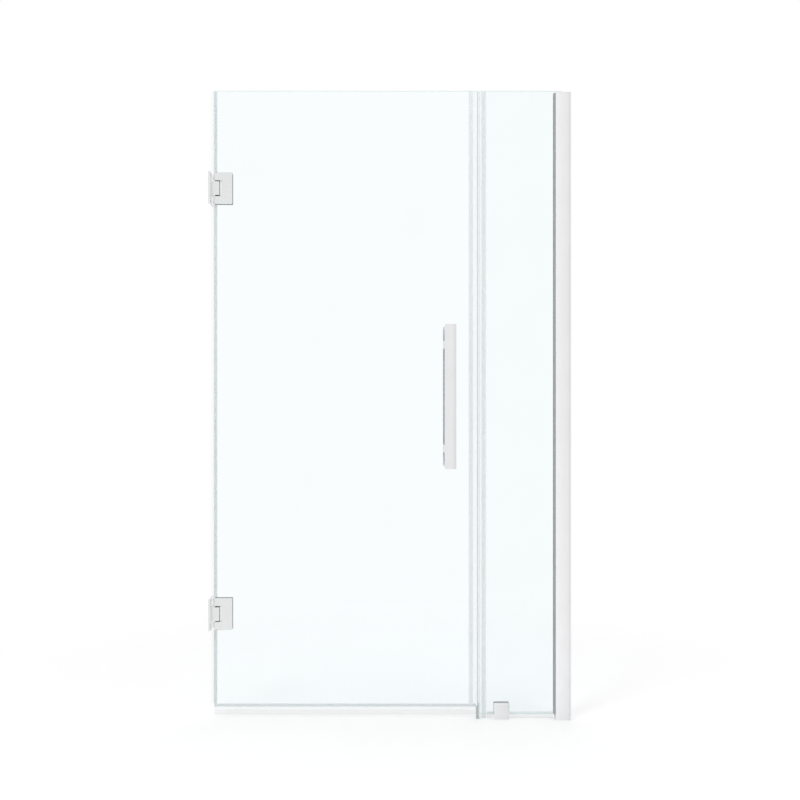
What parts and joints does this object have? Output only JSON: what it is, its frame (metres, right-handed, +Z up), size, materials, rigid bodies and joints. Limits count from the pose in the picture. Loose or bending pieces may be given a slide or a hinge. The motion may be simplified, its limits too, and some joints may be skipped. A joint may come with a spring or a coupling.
{
  "type": "frameless hinged shower door",
  "caption": "Clear glass shower leaf on wall hinges with a bar pull, beside a narrow fixed glass panel held by a wall channel and a floor clamp.",
  "frame": {"origin": "floor level, midway between the hinge wall and the jamb wall, in the middle of the glass's thickness", "axes": "+X from the hinge wall to the jamb wall, +Y into the shower, +Z up"},
  "size_m": [1.054, 0.124, 1.836],
  "materials": {
    "hinge_metal": "satin nickel",
    "handle_metal": "satin nickel",
    "clamp_metal": "satin nickel",
    "channel_metal": "satin anodised",
    "pin_steel": "ground",
    "spring_steel": "drawn wire",
    "fastener_steel": "plain stainless",
    "bush_plastic": "moulded acetal",
    "nylon": "moulded",
    "cap_plastic": "moulded",
    "door_glass": "clear toughened, polished edges",
    "fixed_glass": "clear toughened, polished edges",
    "clear_vinyl": "clear extruded",
    "grey_vinyl": "moulded",
    "gasket_vinyl": "soft vinyl",
    "block_rubber": "moulded"
  },
  "bodies": {
    "fixed_side": {"lower_hinge_wall_plate": "hinge_metal", "lower_hinge_bushes": "bush_plastic", "lower_hinge_detent_plunger": "bush_plastic", "lower_hinge_detent_spring": "spring_steel", "lower_hinge_spring_plug": "fastener_steel", "upper_hinge_wall_plate": "hinge_metal", "upper_hinge_bushes": "bush_plastic", "upper_hinge_detent_plunger": "bush_plastic", "upper_hinge_detent_spring": "spring_steel", "upper_hinge_spring_plug": "fastener_steel", "fixed_glass": "fixed_glass", "fixed_panel_edge_seal": "clear_vinyl", "fixed_panel_bottom_seal": "clear_vinyl", "wall_jamb": "channel_metal", "glass_channel": "channel_metal", "outer_glazing_gasket": "gasket_vinyl", "inner_glazing_gasket": "gasket_vinyl", "setting_block": "block_rubber", "jamb_screws": "fastener_steel", "jamb_screw_caps": "cap_plastic", "floor_clamp_body": "clamp_metal", "floor_clamp_front_plate": "clamp_metal", "floor_clamp_gaskets": "gasket_vinyl", "floor_clamp_screws": "fastener_steel"},
    "door_leaf": {"lower_hinge_pin": "pin_steel", "lower_hinge_pin_screws": "fastener_steel", "lower_hinge_front_plate": "hinge_metal", "lower_hinge_clamp_plate": "hinge_metal", "lower_hinge_front_gasket": "gasket_vinyl", "lower_hinge_back_gasket": "gasket_vinyl", "lower_hinge_clamp_screws": "fastener_steel", "upper_hinge_pin": "pin_steel", "upper_hinge_pin_screws": "fastener_steel", "upper_hinge_front_plate": "hinge_metal", "upper_hinge_clamp_plate": "hinge_metal", "upper_hinge_front_gasket": "gasket_vinyl", "upper_hinge_back_gasket": "gasket_vinyl", "upper_hinge_clamp_screws": "fastener_steel", "door_glass": "door_glass", "hinge_side_seal": "clear_vinyl", "strike_side_seal": "clear_vinyl", "bottom_sweep": "clear_vinyl", "bottom_sweep_end_plug": "grey_vinyl", "outer_handle": "handle_metal", "inner_handle": "handle_metal", "handle_studs": "fastener_steel", "handle_washers": "gasket_vinyl", "handle_sleeves": "nylon", "handle_grub_screws": "fastener_steel"}
  },
  "joints": [
    {"name": "door_swing", "type": "hinge", "parent": "fixed_side", "child": "door_leaf", "pos_m": [-0.505, 0, 0.92875], "axis": [0, 0, 1], "range_deg": [-90, 90]}
  ]
}
